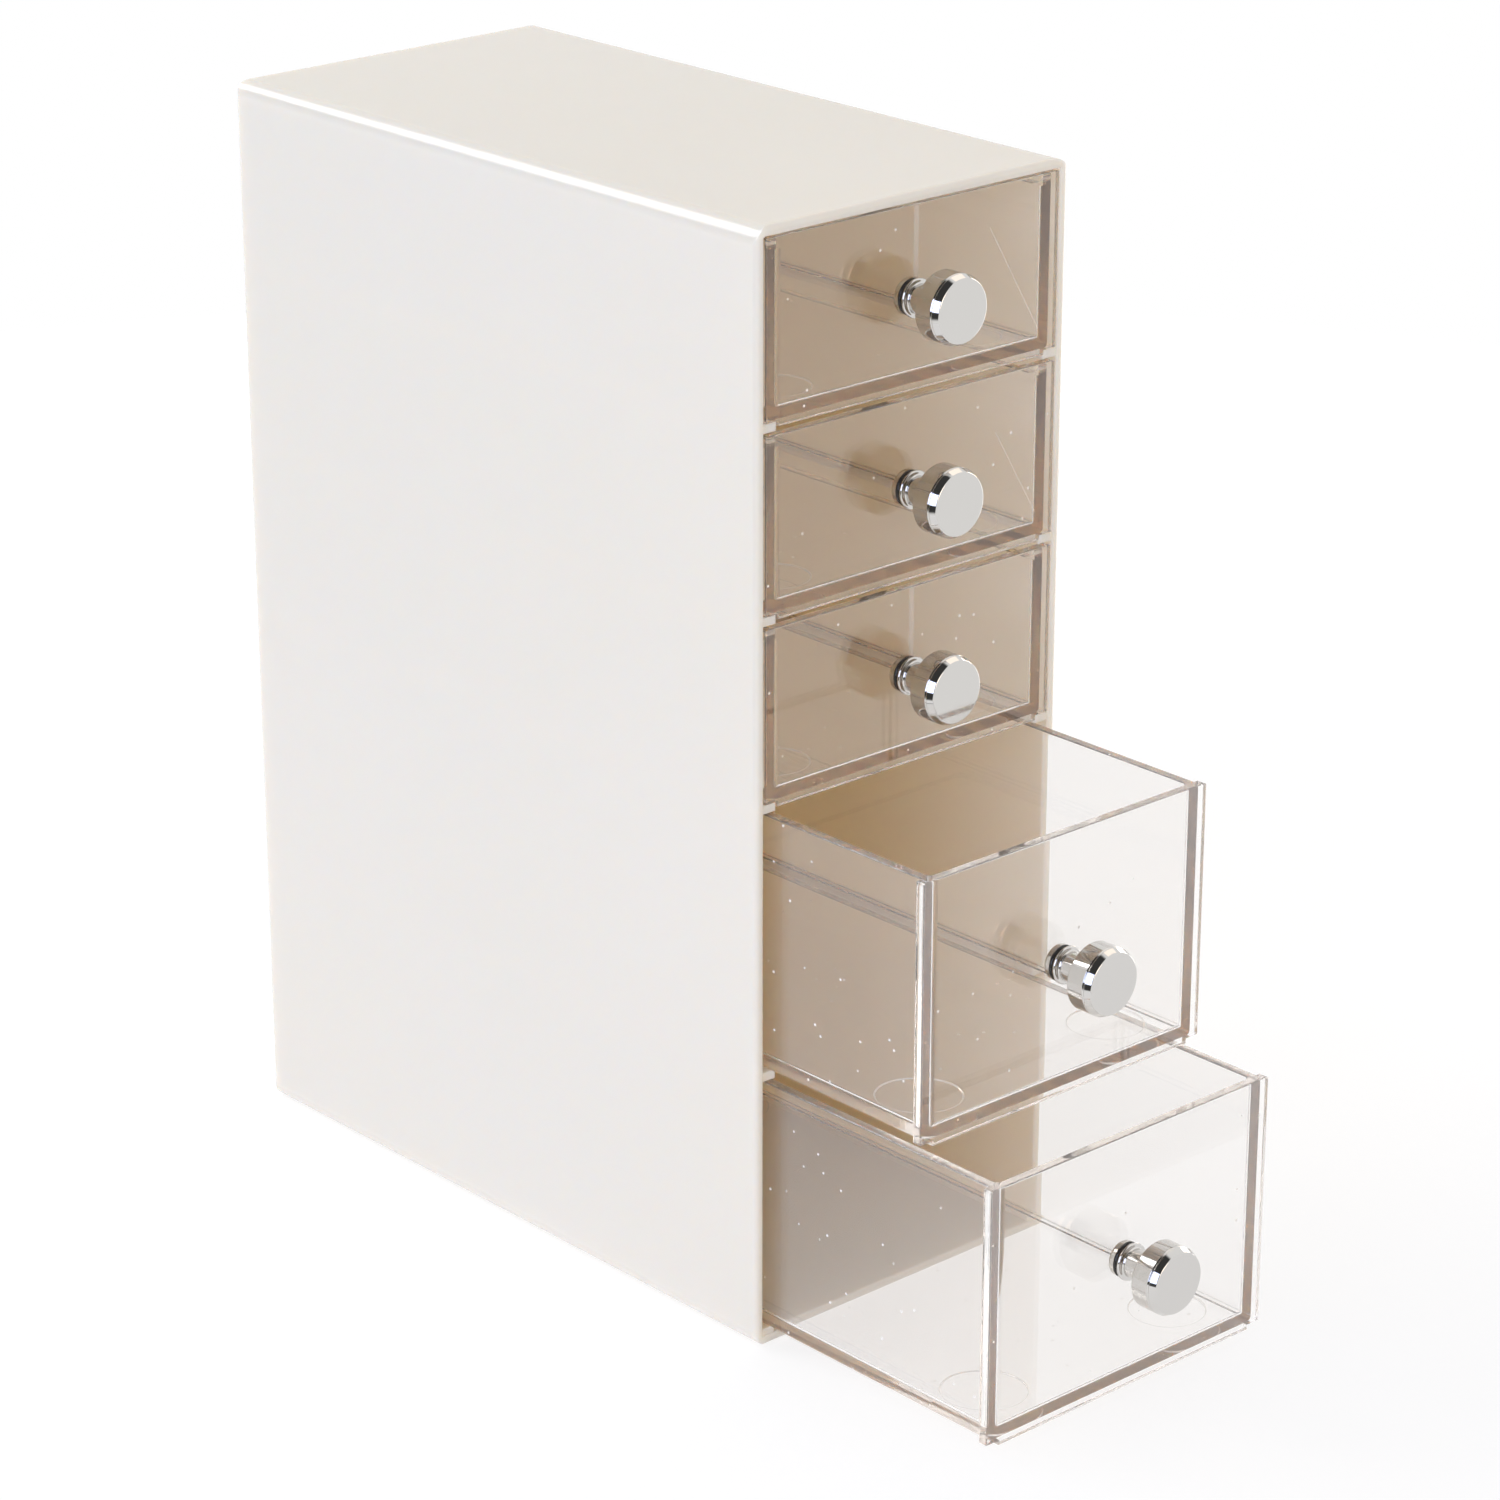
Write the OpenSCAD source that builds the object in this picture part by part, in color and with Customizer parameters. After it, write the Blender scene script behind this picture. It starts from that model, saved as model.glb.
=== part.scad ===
// Desktop vanity organizer: a moulded casing with five clear drawers that slide
// out of its open front, each with a turned metal knob held by one screw.
// Millimetres, +Z up. The origin is the centre of the casing's underside, and
// the drawers open towards -Y. Drawer 1 is the top one, drawer 5 the bottom one.

/* [Casing] */
// Outer width of the casing, side to side
case_w = 89; // [80:1:120]
// Outer depth of the casing, front to back
case_d = 175; // [150:1:220]
// Outer height of the casing
case_h = 252; // [230:1:300]
// Thickness of the casing's walls, roof, floor and back
wall_t = 2.2; // [1.8:0.1:3]
// Outer radius of the four long edges, which run front to back
long_edge_r = 3.7; // [1.5:0.1:4]
// Outer radius round the front rim and round the back panel
rim_edge_r = 1.2; // [0.5:0.1:1.4]
// Radius of the rim's inner edge, where the drawers go in
mouth_edge_r = 0.5; // [0.2:0.1:1]
// Radius of the corners inside the casing
bay_corner_r = 0.8; // [0.4:0.1:2]

/* [Runners] */
// How far a runner stands in from the casing's side wall
runner_w = 3.8; // [3.2:0.1:4]
// Gap between a runner and the drawer below it
runner_clear = 0.6; // [0.4:0.1:1]
// Gap beside a runner where a front is notched round it
runner_side_gap = 0.3; // [0.2:0.1:0.6]
// Radius of the runners' edges
runner_edge_r = 0.4; // [0.2:0.1:0.7]
// How far the runners' front ends lie behind the rim
runner_setback = 0.4; // [0.2:0.1:2]

/* [Drawer fronts] */
// Height of each of the three shallow fronts; the two deep ones share the rest
shallow_front_h = 40.1; // [30:0.1:48]
// Thickness of a front
front_t = 2.4; // [2:0.1:3]
// Gap between one front and the next
front_seam = 1.6; // [1.2:0.1:2.4]
// Gap between the fronts and the casing
front_gap = 0.3; // [0.2:0.05:0.6]
// Radius of a front's corners
front_corner_r = 0.8; // [0.4:0.1:2]
// Radius of a front's edges
front_edge_r = 0.35; // [0.2:0.05:0.6]
// How far a front reaches past the side of its tub
front_overhang = 1.5; // [1:0.1:2]
// How far a front hangs below the floor of its tub
front_drop = 1.3; // [1:0.1:1.8]
// How far the upper deep drawer is drawn out
drawer_4_out = 48; // [0:1:120]
// How far the lower deep drawer is drawn out
drawer_5_out = 69; // [0:1:120]

/* [Drawer tubs] */
// Thickness of a tub's side and back walls
tub_wall_t = 2.4; // [1.8:0.1:3]
// Thickness of a tub's floor
tub_floor_t = 2.2; // [1.8:0.1:3]
// Radius of the fillets inside a tub
tub_fillet_r = 1.2; // [0.8:0.1:3]
// Outer radius round a tub's floor and back corners
tub_edge_r = 1; // [0.5:0.1:2]
// Radius of the two edges along a tub's rim
tub_rim_r = 0.4; // [0.2:0.05:0.5]
// Gap between the back of a closed tub and the casing's back
tub_rear_gap = 2; // [1:0.1:5]
// Gap between a tub's floor and the runner that carries it
glide_gap = 0.1; // [0.05:0.05:0.3]
// How far a shallow tub's rim lies below the top of its front
shallow_rim_drop = 3; // [1.5:0.1:5]
// Diameter of the round ejector marks in a tub's floor
mark_d = 17; // [8:1:18]
// Depth of an ejector mark
mark_depth = 0.2; // [0.1:0.05:0.4]
// Distance from a tub's side wall to the centre of a mark
mark_side_inset = 10.5; // [10:0.5:16]
// Distance from a tub's front or back wall to the centre of a mark
mark_end_inset = 13; // [11:0.5:30]

/* [Knobs] */
// Diameter of the ringed foot that sits on the front
knob_foot_d = 8.6; // [7.5:0.1:10]
// Thickness of the foot
knob_foot_t = 0.9; // [0.6:0.1:1.5]
// Diameter of the neck
knob_neck_d = 6.4; // [5.6:0.1:7]
// Length of the neck, from the foot to the head
knob_neck_l = 6.5; // [4:0.1:9]
// Diameter of the head
knob_head_d = 15.3; // [12:0.1:18]
// Length of the head's straight band
knob_band_l = 5; // [3:0.1:7]
// Depth of the fine groove between the band and the bevel
knob_groove = 0.25; // [0.1:0.05:0.4]
// Length of the bevel in front of the band
knob_bevel_l = 1.7; // [1:0.1:2.5]
// How much smaller in radius the flat face is than the head
knob_bevel_w = 0.75; // [0.4:0.05:1.2]
// Chamfer at the back of the head
knob_back_chamfer = 0.4; // [0.2:0.1:1]

/* [Screws] */
// Diameter of the screw's shank
screw_d = 4; // [3:0.5:4]
// Diameter of the screw's low pan head
screw_head_d = 8; // [7:0.1:9]
// Height of the pan head
screw_head_h = 1.6; // [1.4:0.1:2.4]
// Radius of the pan head's outer edge
screw_head_r = 0.7; // [0.4:0.1:1]
// Width of one arm of the cross recess
recess_w = 1; // [0.8:0.1:1.2]
// Length across the cross recess
recess_l = 4.4; // [3:0.1:5]
// Depth of the cross recess
recess_depth = 0.9; // [0.6:0.1:1.1]
// Chamfer at the end of the shank
screw_chamfer = 0.4; // [0.2:0.1:0.8]
// How far the shank reaches into the knob
screw_grip = 8; // [5:0.5:9]
// Radial clearance of the shank in the knob's bore
screw_fit = 0.03; // [0.02:0.01:0.08]
// Radial clearance of the shank in the drawer front
screw_pass = 0.2; // [0.1:0.05:0.4]
// Free bore in the knob beyond the end of the shank
bore_run_out = 1; // [0.5:0.1:2]

/* [Hidden] */
$fn = 64;

SHALLOW = 3;    // drawers 1 to 3 are shallow
DRAWERS = 5;
OVERCUT = 1;    // how far a cut runs past the face that it opens

bay_w = case_w - 2 * wall_t;
bay_h = case_h - 2 * wall_t;
rim_y = -case_d / 2;
bay_back_y = case_d / 2 - wall_t;

front_w = bay_w - 2 * front_gap;
stack_h = bay_h - 2 * front_gap - (DRAWERS - 1) * front_seam;
deep_front_h = (stack_h - SHALLOW * shallow_front_h) / (DRAWERS - SHALLOW);

tub_w = front_w - 2 * front_overhang;
tub_l = bay_back_y - tub_rear_gap - rim_y;

// What is left for a runner under a drawer once its gaps are taken off
runner_t = front_drop - glide_gap + front_seam - runner_clear;
// How deep a runner is let into the walls that carry it
runner_root = wall_t / 2;
// How deep the shank's section runs into the screw's head
shank_root = screw_head_h / 4;

function is_deep(i) = i > SHALLOW;
function front_h(i) = is_deep(i) ? deep_front_h : shallow_front_h;
function rim_drop(i) = is_deep(i) ? 0 : shallow_rim_drop;
function drawer_out(i) = i == 4 ? drawer_4_out : i == 5 ? drawer_5_out : 0;

// Height of the underside of drawer i's front, counted down from the roof
function front_z(i) =
    i == 1 ? case_h - wall_t - front_gap - front_h(1)
           : front_z(i - 1) - front_seam - front_h(i);

// Height of the top of the runner that carries drawer i
function runner_z(i) = front_z(i) + front_drop - glide_gap;

// ---- Shapes that repeat ----

// Rectangle with rounded corners, centred
module rounded_rect(w, h, r) {
    square([w - 2 * r, h], center = true);
    square([w, h - 2 * r], center = true);
    for (x = [-1, 1], y = [-1, 1])
        translate([x * (w / 2 - r), y * (h / 2 - r)])
            circle(r);
}

// Block of w x d x h, centred in X, from y = 0 and z = 0. Each radius rounds
// the edges that run along one axis: r_x along X, r_y along Y, r_z along Z.
module rounded_block(w, d, h, r_x, r_y, r_z) {
    intersection() {
        translate([0, d, h / 2])
            rotate([90, 0, 0])
                linear_extrude(d)
                    rounded_rect(w, h, r_y);
        translate([0, d / 2, 0])
            linear_extrude(h)
                rounded_rect(w, d, r_z);
        translate([-w / 2, d / 2, h / 2])
            rotate([90, 0, 90])
                linear_extrude(w)
                    rounded_rect(d, h, r_x);
    }
}

// What rounds a square edge when it is cut away: the edge is at the origin,
// and the solid lies at +X and +Y
module edge_cut(r) {
    difference() {
        translate([-OVERCUT, -OVERCUT])
            square(r + OVERCUT);
        translate([r, r])
            circle(r);
    }
}

// Puts its children at the outer face of drawer i's front, on the knob's axis,
// with +Z pointing out of the organizer
module at_knob(i) {
    translate([0, rim_y - drawer_out(i), front_z(i) + front_h(i) / 2])
        rotate([90, 0, 0])
            children();
}

// ---- Casing ----

// The space that the drawers fill, run out through the open front
module bay() {
    run_out = OVERCUT + bay_corner_r;
    translate([0, rim_y - run_out, wall_t])
        rounded_block(bay_w, bay_back_y - rim_y + run_out, bay_h,
                      bay_corner_r, bay_corner_r, bay_corner_r);
}

// Rounds the rim's inner edge on all four sides
module mouth_edge_cuts() {
    translate([0, rim_y, case_h / 2]) {
        for (side = [0, 1])
            mirror([side, 0, 0])
                translate([bay_w / 2, 0, 0])
                    linear_extrude(bay_h, center = true)
                        edge_cut(mouth_edge_r);
        for (side = [0, 1])
            mirror([0, 0, side])
                translate([0, 0, bay_h / 2])
                    rotate([0, -90, 0])
                        linear_extrude(bay_w, center = true)
                            edge_cut(mouth_edge_r);
    }
}

// A rib along a side wall, let into the wall and the back, with its top at top_z
module runner(side, top_z, t) {
    w = runner_w + runner_root;
    start_y = rim_y + runner_setback;
    translate([side * (bay_w / 2 + runner_root - w / 2), start_y, top_z - t])
        rounded_block(w, bay_back_y + runner_root - start_y, t,
                      runner_edge_r, runner_edge_r, runner_edge_r);
}

module casing() {
    color("#efe9e2")
        union() {
            difference() {
                translate([0, rim_y, 0])
                    rounded_block(case_w, case_d, case_h,
                                  rim_edge_r, long_edge_r, rim_edge_r);
                bay();
                mouth_edge_cuts();
            }
            for (side = [-1, 1]) {
                for (i = [1 : DRAWERS - 1])
                    runner(side, runner_z(i), runner_t);
                // The lowest pair stands on the floor
                runner(side, runner_z(DRAWERS), runner_z(DRAWERS) - wall_t + runner_root);
            }
        }
}

// ---- Drawers ----
// A drawer is one moulding. Its own frame has y = 0 at the outer face of the
// front, +Y towards the back of the tub, and z = 0 at the front's lower edge.

module front(h) {
    rounded_block(front_w, front_t, h, front_edge_r, front_corner_r, front_edge_r);
}

// The tub's outside, with its rim at rim_h
module tub_body(rim_h) {
    start_y = front_t - tub_edge_r;
    intersection() {
        translate([0, start_y, front_drop])
            rounded_block(tub_w, tub_l - start_y, rim_h - front_drop + tub_edge_r,
                          tub_edge_r, tub_edge_r, tub_edge_r);
        translate([0, start_y, 0])
            rounded_block(tub_w, tub_l - start_y, rim_h,
                          tub_rim_r, tub_rim_r, tub_edge_r);
    }
}

// The curve by which a lowered side rim sweeps up to the back of the front.
// The wall below it keeps its full width.
module rim_sweeps(rim_h, drop) {
    for (side = [-1, 1])
        translate([side * (tub_w - tub_wall_t) / 2, front_t, rim_h])
            rotate([90, 0, 90])
                linear_extrude(tub_wall_t, center = true) {
                    difference() {
                        square(drop);
                        translate([drop, drop])
                            circle(drop);
                    }
                    translate([0, -tub_rim_r])
                        square([drop, tub_rim_r]);
                }
}

// Rounds the inner edge of a tub's rim. A lowered rim is rounded from its
// sweeps to the back, and a rim at full height all the way round.
module rim_inner_cuts(rim_h, drop) {
    inner_x = tub_w / 2 - tub_wall_t;
    turn_x = inner_x - tub_fillet_r;
    back_y = tub_l - tub_wall_t;
    turn_y = back_y - tub_fillet_r;
    start_y = front_t + max(drop, tub_fillet_r);
    translate([0, 0, rim_h]) {
        for (side = [0, 1])
            mirror([side, 0, 0]) {
                translate([inner_x, start_y, 0])
                    rotate([-90, 0, 0])
                        linear_extrude(turn_y - start_y)
                            edge_cut(tub_rim_r);
                for (y = drop > 0 ? [turn_y] : [start_y, turn_y])
                    translate([turn_x, y, 0])
                        rim_corner_cut();
            }
        translate([0, back_y, 0])
            rotate([-90, 0, 90])
                linear_extrude(2 * turn_x, center = true)
                    edge_cut(tub_rim_r);
        if (drop == 0)
            translate([0, front_t, 0])
                rotate([-90, 0, -90])
                    linear_extrude(2 * turn_x, center = true)
                        edge_cut(tub_rim_r);
    }
}

// Rounds the rim's inner edge where it turns round a fillet
module rim_corner_cut() {
    rotate_extrude()
        difference() {
            translate([0, -tub_rim_r])
                square([tub_fillet_r + tub_rim_r, tub_rim_r + OVERCUT]);
            translate([tub_fillet_r + tub_rim_r, -tub_rim_r])
                circle(tub_rim_r);
        }
}

module tub_hollow(h) {
    translate([0, front_t, front_drop + tub_floor_t])
        rounded_block(tub_w - 2 * tub_wall_t, tub_l - front_t - tub_wall_t,
                      h + tub_fillet_r, tub_fillet_r, tub_fillet_r, tub_fillet_r);
}

// The round marks that the mould's ejector pins leave in the floor
module ejector_marks() {
    x = tub_w / 2 - tub_wall_t - mark_side_inset;
    for (side = [-1, 1],
         y = [front_t + mark_end_inset, tub_l - tub_wall_t - mark_end_inset])
        translate([side * x, y, front_drop + tub_floor_t - mark_depth])
            cylinder(d = mark_d, h = mark_depth + OVERCUT);
}

// Clears the runners' front ends at the lower corners of the front
module runner_notches() {
    x = bay_w / 2 - runner_w - runner_side_gap;
    for (side = [0, 1])
        mirror([side, 0, 0])
            translate([x, -OVERCUT, -OVERCUT])
                cube([front_w, front_t + OVERCUT, front_drop + OVERCUT]);
}

module drawer(i) {
    h = front_h(i);
    rim_h = h - rim_drop(i);
    color("#cdbfb0", 0.5)
        translate([0, rim_y - drawer_out(i), front_z(i)])
            difference() {
                union() {
                    front(h);
                    tub_body(rim_h);
                    if (rim_drop(i) > 0)
                        rim_sweeps(rim_h, rim_drop(i));
                }
                tub_hollow(h);
                rim_inner_cuts(rim_h, rim_drop(i));
                ejector_marks();
                runner_notches();
                translate([0, front_t + OVERCUT, h / 2])
                    rotate([90, 0, 0])
                        cylinder(d = screw_d + 2 * screw_pass, h = front_t + 2 * OVERCUT);
            }
}

// ---- Knobs and screws ----

module knob_foot() {
    bead_r = knob_foot_t / 2;
    cylinder(r = knob_foot_d / 2 - bead_r, h = knob_foot_t);
    rotate_extrude()
        translate([knob_foot_d / 2 - bead_r, bead_r])
            circle(bead_r);
}

module knob_head() {
    r = knob_head_d / 2;
    back = knob_foot_t + knob_neck_l;
    groove_z = back + knob_band_l;
    rotate_extrude()
        polygon([[0, back],
                 [r - knob_back_chamfer, back],
                 [r, back + knob_back_chamfer],
                 [r, groove_z - knob_groove],
                 [r - knob_groove, groove_z],
                 [r, groove_z + knob_groove],
                 [r - knob_bevel_w, groove_z + knob_bevel_l],
                 [0, groove_z + knob_bevel_l]]);
}

module knob(i) {
    color("silver")
        at_knob(i)
            difference() {
                union() {
                    knob_foot();
                    cylinder(d = knob_neck_d, h = knob_foot_t + knob_neck_l + OVERCUT);
                    knob_head();
                }
                translate([0, 0, -OVERCUT])
                    cylinder(d = screw_d + 2 * screw_fit,
                             h = OVERCUT + screw_grip + bore_run_out);
            }
}

// Half of the screw's section: the pan head below y = -front_t, the shank above
module screw_section() {
    r = screw_head_d / 2;
    translate([0, -front_t - screw_head_h]) {
        translate([0, screw_head_r])
            square([r, screw_head_h - screw_head_r]);
        square([r - screw_head_r, screw_head_h]);
        translate([r - screw_head_r, screw_head_r])
            circle(screw_head_r);
    }
    polygon([[0, -front_t - shank_root],
             [screw_d / 2, -front_t - shank_root],
             [screw_d / 2, screw_grip - screw_chamfer],
             [screw_d / 2 - screw_chamfer, screw_grip],
             [0, screw_grip]]);
}

module cross_recess() {
    for (turn = [0, 90])
        rotate([0, 0, turn])
            translate([-recess_l / 2, -recess_w / 2, -OVERCUT])
                cube([recess_l, recess_w, recess_depth + OVERCUT]);
}

module screw(i) {
    color("gainsboro")
        at_knob(i)
            difference() {
                rotate_extrude()
                    screw_section();
                translate([0, 0, -front_t - screw_head_h])
                    cross_recess();
            }
}

casing();
drawer(1);  // drawer_1
drawer(2);  // drawer_2
drawer(3);  // drawer_3
drawer(4);  // drawer_4
drawer(5);  // drawer_5
knob(1);  // knob_1
knob(2);  // knob_2
knob(3);  // knob_3
knob(4);  // knob_4
knob(5);  // knob_5
screw(1);  // screw_1
screw(2);  // screw_2
screw(3);  // screw_3
screw(4);  // screw_4
screw(5);  // screw_5
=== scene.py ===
"""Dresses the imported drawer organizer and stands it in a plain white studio.

A moulded cream casing holds five clear drawers, each with a turned metal knob
that one screw holds from behind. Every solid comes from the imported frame, in
metres, +Z up, with the drawers opening towards -Y; drawer 1 is the top one.
"""

import logging
import math
from dataclasses import dataclass, field
from enum import Enum

import bmesh
import bpy
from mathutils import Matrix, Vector


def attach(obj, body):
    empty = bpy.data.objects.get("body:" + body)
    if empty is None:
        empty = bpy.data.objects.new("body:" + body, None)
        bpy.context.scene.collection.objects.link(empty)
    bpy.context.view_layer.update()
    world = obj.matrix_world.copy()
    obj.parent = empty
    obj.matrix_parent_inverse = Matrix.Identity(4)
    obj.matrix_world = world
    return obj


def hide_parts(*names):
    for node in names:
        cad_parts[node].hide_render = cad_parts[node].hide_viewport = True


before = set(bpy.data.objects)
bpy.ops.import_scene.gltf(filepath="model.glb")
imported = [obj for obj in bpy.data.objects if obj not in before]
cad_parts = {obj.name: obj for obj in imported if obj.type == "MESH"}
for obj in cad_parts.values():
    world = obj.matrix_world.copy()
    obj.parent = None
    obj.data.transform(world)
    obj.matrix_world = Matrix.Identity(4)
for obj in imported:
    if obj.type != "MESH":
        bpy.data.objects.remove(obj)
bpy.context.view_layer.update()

log = logging.getLogger("organizer")

MM = 0.001
RIM_Y = -87.5  # the casing's front rim, in millimetres
FACE_SIDE_Y = -87.0  # only the outer face of a shut front lies beyond this
NOISE_LOW, NOISE_HIGH = 0.3, 0.7  # a noise texture seldom leaves this span

Tree = bpy.types.NodeTree
Node = bpy.types.Node
Socket = bpy.types.NodeSocket


# ---- Small tools ----


def linear(code: str) -> tuple[float, float, float, float]:
    """Turns an sRGB hex colour into the linear colour that a socket takes.

    Args:
        code: The colour as "#rrggbb".

    Returns:
        Linear red, green and blue, and an alpha of 1.
    """
    parts = [int(code[i : i + 2], 16) / 255 for i in (1, 3, 5)]
    bent = [c / 12.92 if c <= 0.04045 else ((c + 0.055) / 1.055) ** 2.4 for c in parts]
    return (bent[0], bent[1], bent[2], 1.0)


def add(tree: Tree, kind: str, settings: dict | None = None, feeds: dict | None = None) -> Node:
    """Adds one node to a tree.

    Args:
        tree: The node tree that gets the node.
        kind: The identifier of the node's type.
        settings: Attributes of the node, by name.
        feeds: What each input gets, by its name or number: a socket to link
            from, or a plain value.

    Returns:
        The new node.
    """
    node = tree.nodes.new(kind)
    for name, value in (settings or {}).items():
        setattr(node, name, value)
    for name, value in (feeds or {}).items():
        if isinstance(value, Socket):
            tree.links.new(value, node.inputs[name])
        else:
            node.inputs[name].default_value = value
    return node


def blank_material(name: str) -> tuple[bpy.types.Material, Tree]:
    """Makes a node material with nothing in it.

    Args:
        name: The material's name.

    Returns:
        The material and its emptied node tree.
    """
    made = bpy.data.materials.new(name)
    made.use_nodes = True
    made.node_tree.nodes.clear()
    return made, made.node_tree


def dress(node: str, material: bpy.types.Material) -> None:
    """Puts one material in each of a frame node's material slots."""
    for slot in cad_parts[node].material_slots:
        slot.material = material


# ---- Finishes ----


@dataclass(frozen=True)
class GlossPolystyrene:
    """High-gloss opaque polystyrene, injection moulded in a polished steel mould.

    The eye gets a clean, cool gloss outside, and a warm glow inside, where light
    that has come through the thin walls goes from one cream wall to the next.
    """

    name: str = "cream_gloss_polystyrene"
    colour: str = "#eee5d9"
    warm_colour: str = "#eee4d4"
    drift_mm: float = 90.0
    drift_detail: float = 1.5
    roughness: float = 0.13
    haze: float = 0.05
    haze_mm: float = 14.0
    haze_detail: float = 6.0
    haze_grain: float = 0.6
    peel_mm: float = 2.6
    peel_detail: float = 1.0
    peel_depth_mm: float = 0.004
    ior: float = 1.55
    glow: float = 0.85
    glow_mm: float = 5.5
    glow_colours: tuple[float, float, float] = (1.0, 0.8, 0.62)

    def make(self) -> bpy.types.Material:
        """Builds the material.

        Returns:
            A cream plastic whose shade drifts a little over the large faces,
            with a hazier gloss in places and the faint waviness of a moulding.
        """
        material, tree = blank_material(self.name)
        place = add(tree, "ShaderNodeTexCoord").outputs["Object"]
        # The shade drifts so slowly that no large face is one flat colour
        drift = add(
            tree,
            "ShaderNodeTexNoise",
            feeds={
                "Vector": place,
                "Scale": 1 / (self.drift_mm * MM),
                "Detail": self.drift_detail,
            },
        )
        shade = add(
            tree,
            "ShaderNodeMix",
            {"data_type": "RGBA"},
            {0: drift.outputs["Fac"], 6: linear(self.colour), 7: linear(self.warm_colour)},
        )
        # The polish comes and goes, so reflections are a little uneven
        haze = add(
            tree,
            "ShaderNodeTexNoise",
            feeds={
                "Vector": place,
                "Scale": 1 / (self.haze_mm * MM),
                "Detail": self.haze_detail,
                "Roughness": self.haze_grain,
            },
        )
        gloss = add(
            tree,
            "ShaderNodeMapRange",
            feeds={
                "Value": haze.outputs["Fac"],
                "From Min": NOISE_LOW,
                "From Max": NOISE_HIGH,
                "To Min": self.roughness - self.haze / 2,
                "To Max": self.roughness + self.haze / 2,
            },
        )
        # A waviness too shallow to see by itself softens the highlights' edges
        peel = add(
            tree,
            "ShaderNodeTexNoise",
            feeds={
                "Vector": place,
                "Scale": 1 / (self.peel_mm * MM),
                "Detail": self.peel_detail,
            },
        )
        wave = add(
            tree,
            "ShaderNodeBump",
            feeds={
                "Height": peel.outputs["Fac"],
                "Distance": self.peel_depth_mm * MM,
                "Strength": 1.0,
            },
        )
        # Light sinks in and comes out again, so thin rims and corners glow warmly
        shader = add(
            tree,
            "ShaderNodeBsdfPrincipled",
            feeds={
                "Base Color": shade.outputs[2],
                "Roughness": gloss.outputs["Result"],
                "IOR": self.ior,
                "Subsurface Weight": self.glow,
                "Subsurface Radius": self.glow_colours,
                "Subsurface Scale": self.glow_mm * MM,
                "Normal": wave.outputs["Normal"],
            },
        )
        add(tree, "ShaderNodeOutputMaterial", feeds={"Surface": shader.outputs["BSDF"]})
        return material


@dataclass(frozen=True)
class Scratch:
    """A straight hairline scratch on the outer face of a front, in millimetres.

    A real one is finer; this one is drawn as wide as it needs to show.
    """

    start: tuple[float, float]
    end: tuple[float, float]
    width: float = 0.16


@dataclass(frozen=True)
class PinMarks:
    """The round ejector marks in a tub's floor, in millimetres.

    Their rims are real steps in the solid, but each step is too low to show all
    the way round, so the finish draws a pale line along it, as wide as it needs
    to show: a painted highlight in place of the light that the step's edge
    catches. Sideways and lengthways they lie alike about the floor's middle.
    """

    middle_y: float
    floor_z: float
    side_x: float = 27.6
    end_y: float = 70.0
    diameter: float = 17.0
    line: float = 0.35
    reach_z: float = 0.3
    strength: float = 0.5


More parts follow.
